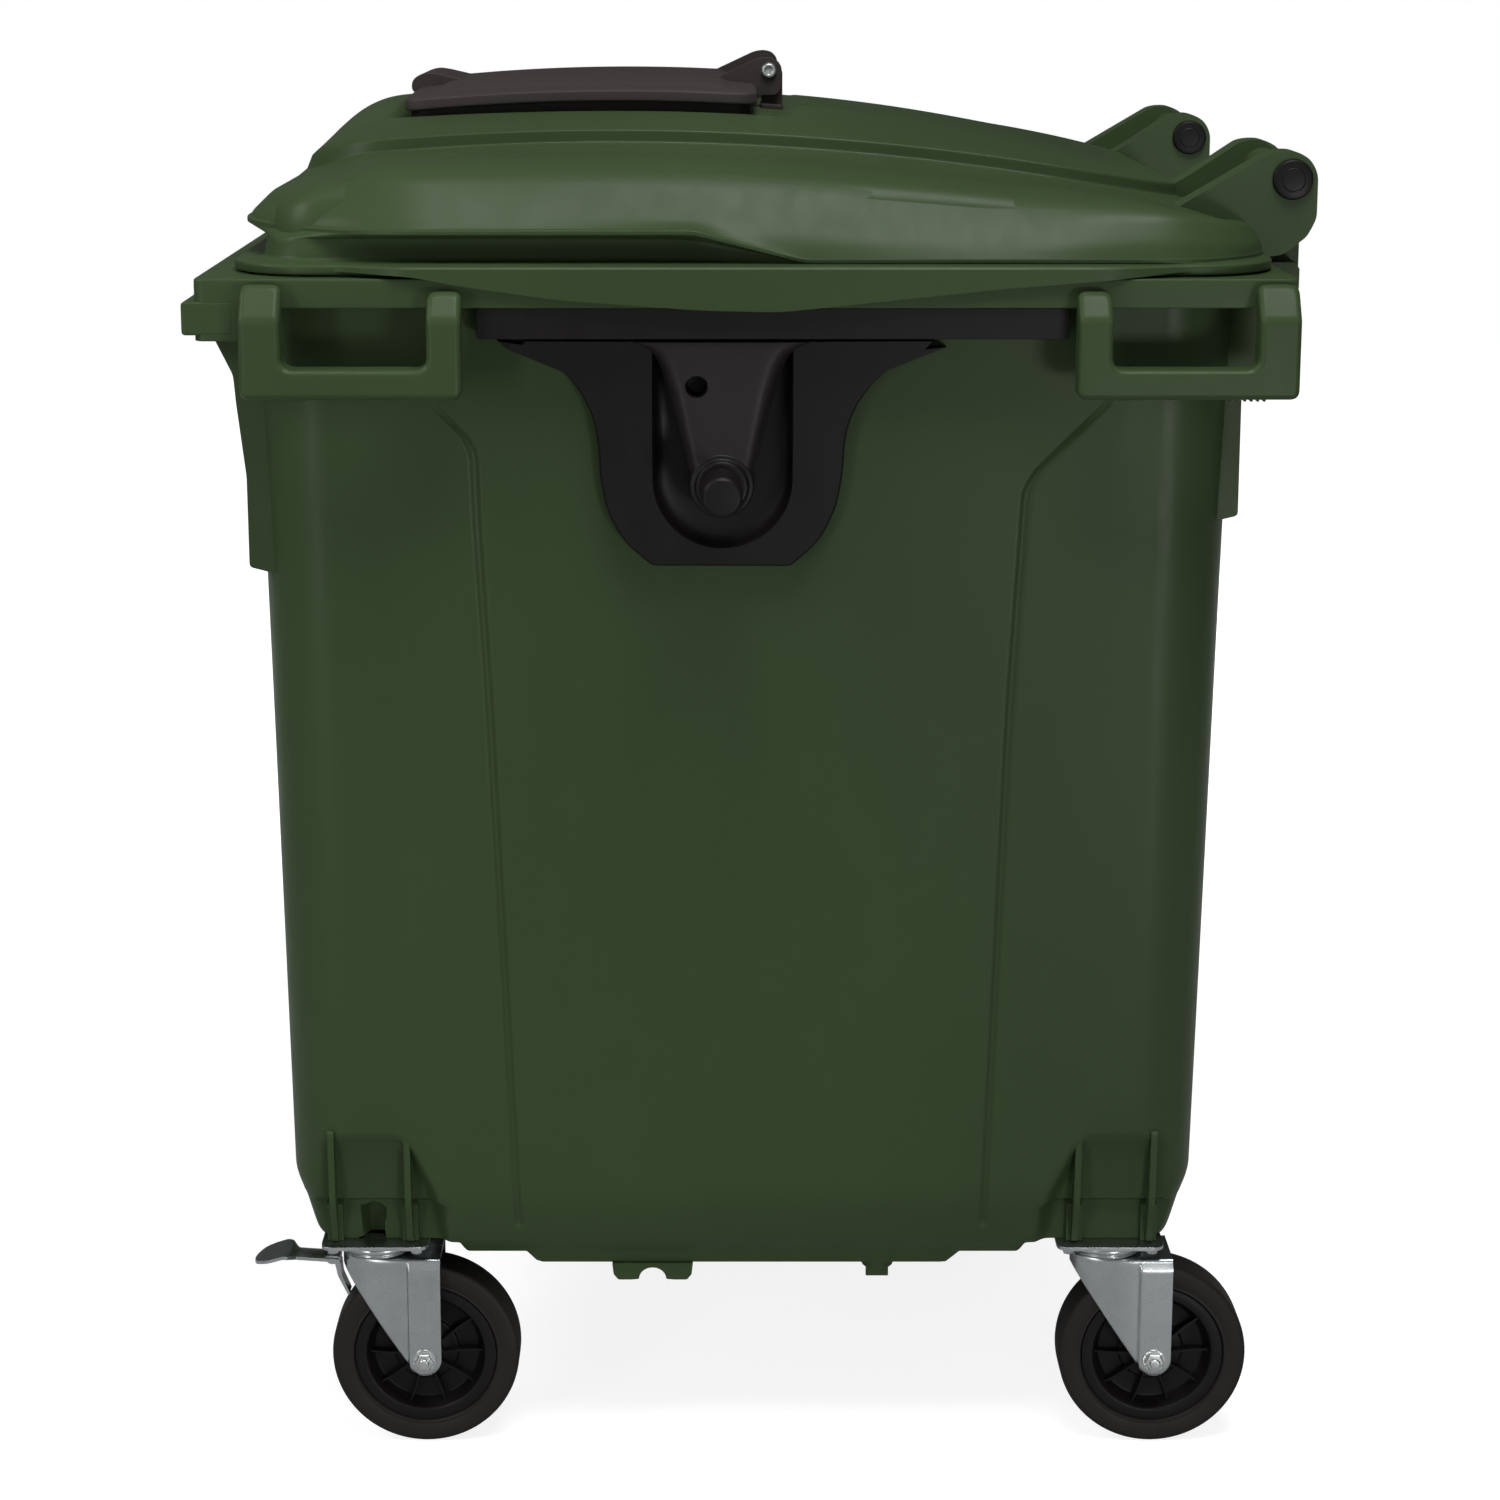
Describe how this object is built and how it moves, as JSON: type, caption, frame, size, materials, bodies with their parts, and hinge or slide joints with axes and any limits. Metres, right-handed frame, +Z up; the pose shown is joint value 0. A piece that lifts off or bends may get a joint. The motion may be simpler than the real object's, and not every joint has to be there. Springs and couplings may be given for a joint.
{
  "type": "wheeled waste container",
  "caption": "Tall tapered plastic waste container on swivel casters, with a domed hinged lid, a smaller lid in it, side handles and lifting trunnions.",
  "frame": {"origin": "middle of the bounding box on the floor", "axes": "+Z up, +Y from the grip side to the hinge side, X from trunnion to trunnion with the right side at +X"},
  "size_m": [1.37, 1.1372, 1.4562],
  "materials": {
    "green_plastic": "fine moulded grain, slight sheen",
    "black_plastic": "smooth moulded",
    "dark_grey_plastic": "fine moulded grain",
    "tyre_rubber": "dull rubber",
    "zinc_plated_steel": "zinc plated pressing",
    "bright_steel": "bright turned"
  },
  "bodies": {
    "container": {"tub": "green_plastic", "side_handle_front_right": "green_plastic", "side_handle_front_left": "green_plastic", "side_handle_rear_right": "green_plastic", "side_handle_rear_left": "green_plastic", "trunnion_bracket_right": "black_plastic", "trunnion_bracket_left": "black_plastic", "trunnion_pin_right": "black_plastic", "trunnion_pin_left": "black_plastic", "drain_seal": "tyre_rubber", "caster_front_right_plate": "zinc_plated_steel", "caster_front_left_plate": "zinc_plated_steel", "caster_rear_right_plate": "zinc_plated_steel", "caster_rear_left_plate": "zinc_plated_steel"},
    "drain": {"drain_plug": "green_plastic"},
    "big_lid": {"lid": "green_plastic", "lid_hinge_pin_right": "zinc_plated_steel", "lid_hinge_pin_left": "zinc_plated_steel", "hinge_cap_right_outer": "black_plastic", "hinge_cap_right_inner": "black_plastic", "hinge_cap_left_outer": "black_plastic", "hinge_cap_left_inner": "black_plastic", "small_lid_frame": "black_plastic", "small_lid_stand_right": "dark_grey_plastic", "small_lid_stand_left": "dark_grey_plastic"},
    "lid_in_lid": {"small_lid": "dark_grey_plastic", "small_lid_bolt_right": "bright_steel", "small_lid_bolt_left": "bright_steel"},
    "swivel_front_right": {"caster_front_right_swivel_head": "zinc_plated_steel", "caster_front_right_fork": "zinc_plated_steel", "caster_front_right_axle_bolt": "bright_steel", "caster_front_right_axle_nut": "bright_steel", "caster_front_right_brake_pin": "zinc_plated_steel"},
    "swivel_front_left": {"caster_front_left_swivel_head": "zinc_plated_steel", "caster_front_left_fork": "zinc_plated_steel", "caster_front_left_axle_bolt": "bright_steel", "caster_front_left_axle_nut": "bright_steel", "caster_front_left_brake_pin": "zinc_plated_steel"},
    "swivel_rear_right": {"caster_rear_right_swivel_head": "zinc_plated_steel", "caster_rear_right_fork": "zinc_plated_steel", "caster_rear_right_axle_bolt": "bright_steel", "caster_rear_right_axle_nut": "bright_steel"},
    "swivel_rear_left": {"caster_rear_left_swivel_head": "zinc_plated_steel", "caster_rear_left_fork": "zinc_plated_steel", "caster_rear_left_axle_bolt": "bright_steel", "caster_rear_left_axle_nut": "bright_steel"},
    "wheel_front_right": {"caster_front_right_hub": "black_plastic", "caster_front_right_tyre": "tyre_rubber"},
    "wheel_front_left": {"caster_front_left_hub": "black_plastic", "caster_front_left_tyre": "tyre_rubber"},
    "wheel_rear_right": {"caster_rear_right_hub": "black_plastic", "caster_rear_right_tyre": "tyre_rubber"},
    "wheel_rear_left": {"caster_rear_left_hub": "black_plastic", "caster_rear_left_tyre": "tyre_rubber"},
    "brake_front_right": {"caster_front_right_brake_pedal": "zinc_plated_steel"},
    "brake_front_left": {"caster_front_left_brake_pedal": "zinc_plated_steel"}
  },
  "joints": [
    {"name": "lid_open", "type": "hinge", "parent": "container", "child": "big_lid", "pos_m": [0, 0.543, 1.3472], "axis": [-1, 0, 0], "range_deg": [0, 210]},
    {"name": "small_lid_open", "type": "hinge", "parent": "big_lid", "child": "lid_in_lid", "pos_m": [0, 0.0243, 1.4417], "axis": [-1, 0, 0], "range_deg": [0, 170]},
    {"name": "drain_turn", "type": "hinge", "parent": "container", "child": "drain", "pos_m": [0.462, 0.139, 0.2], "axis": [0, 0, 1], "range_deg": [0, 90]},
    {"name": "swivel_front_right_turn", "type": "hinge", "parent": "container", "child": "swivel_front_right", "pos_m": [0.475, -0.3945, 0.22], "axis": [0, 0, 1], "continuous": true},
    {"name": "swivel_front_left_turn", "type": "hinge", "parent": "container", "child": "swivel_front_left", "pos_m": [-0.475, -0.3945, 0.22], "axis": [0, 0, 1], "continuous": true},
    {"name": "swivel_rear_right_turn", "type": "hinge", "parent": "container", "child": "swivel_rear_right", "pos_m": [0.475, 0.3825, 0.22], "axis": [0, 0, 1], "continuous": true},
    {"name": "swivel_rear_left_turn", "type": "hinge", "parent": "container", "child": "swivel_rear_left", "pos_m": [-0.475, 0.3825, 0.22], "axis": [0, 0, 1], "continuous": true},
    {"name": "wheel_front_right_spin", "type": "hinge", "parent": "swivel_front_right", "child": "wheel_front_right", "pos_m": [0.475, -0.3445, 0.1], "axis": [1, 0, 0], "continuous": true},
    {"name": "wheel_front_left_spin", "type": "hinge", "parent": "swivel_front_left", "child": "wheel_front_left", "pos_m": [-0.475, -0.3445, 0.1], "axis": [1, 0, 0], "continuous": true},
    {"name": "wheel_rear_right_spin", "type": "hinge", "parent": "swivel_rear_right", "child": "wheel_rear_right", "pos_m": [0.475, 0.4325, 0.1], "axis": [1, 0, 0], "continuous": true},
    {"name": "wheel_rear_left_spin", "type": "hinge", "parent": "swivel_rear_left", "child": "wheel_rear_left", "pos_m": [-0.475, 0.4325, 0.1], "axis": [1, 0, 0], "continuous": true},
    {"name": "brake_front_right_press", "type": "hinge", "parent": "swivel_front_right", "child": "brake_front_right", "pos_m": [0.475, -0.4415, 0.202], "axis": [1, 0, 0], "range_deg": [0, 8]},
    {"name": "brake_front_left_press", "type": "hinge", "parent": "swivel_front_left", "child": "brake_front_left", "pos_m": [-0.475, -0.4415, 0.202], "axis": [1, 0, 0], "range_deg": [0, 8]}
  ]
}
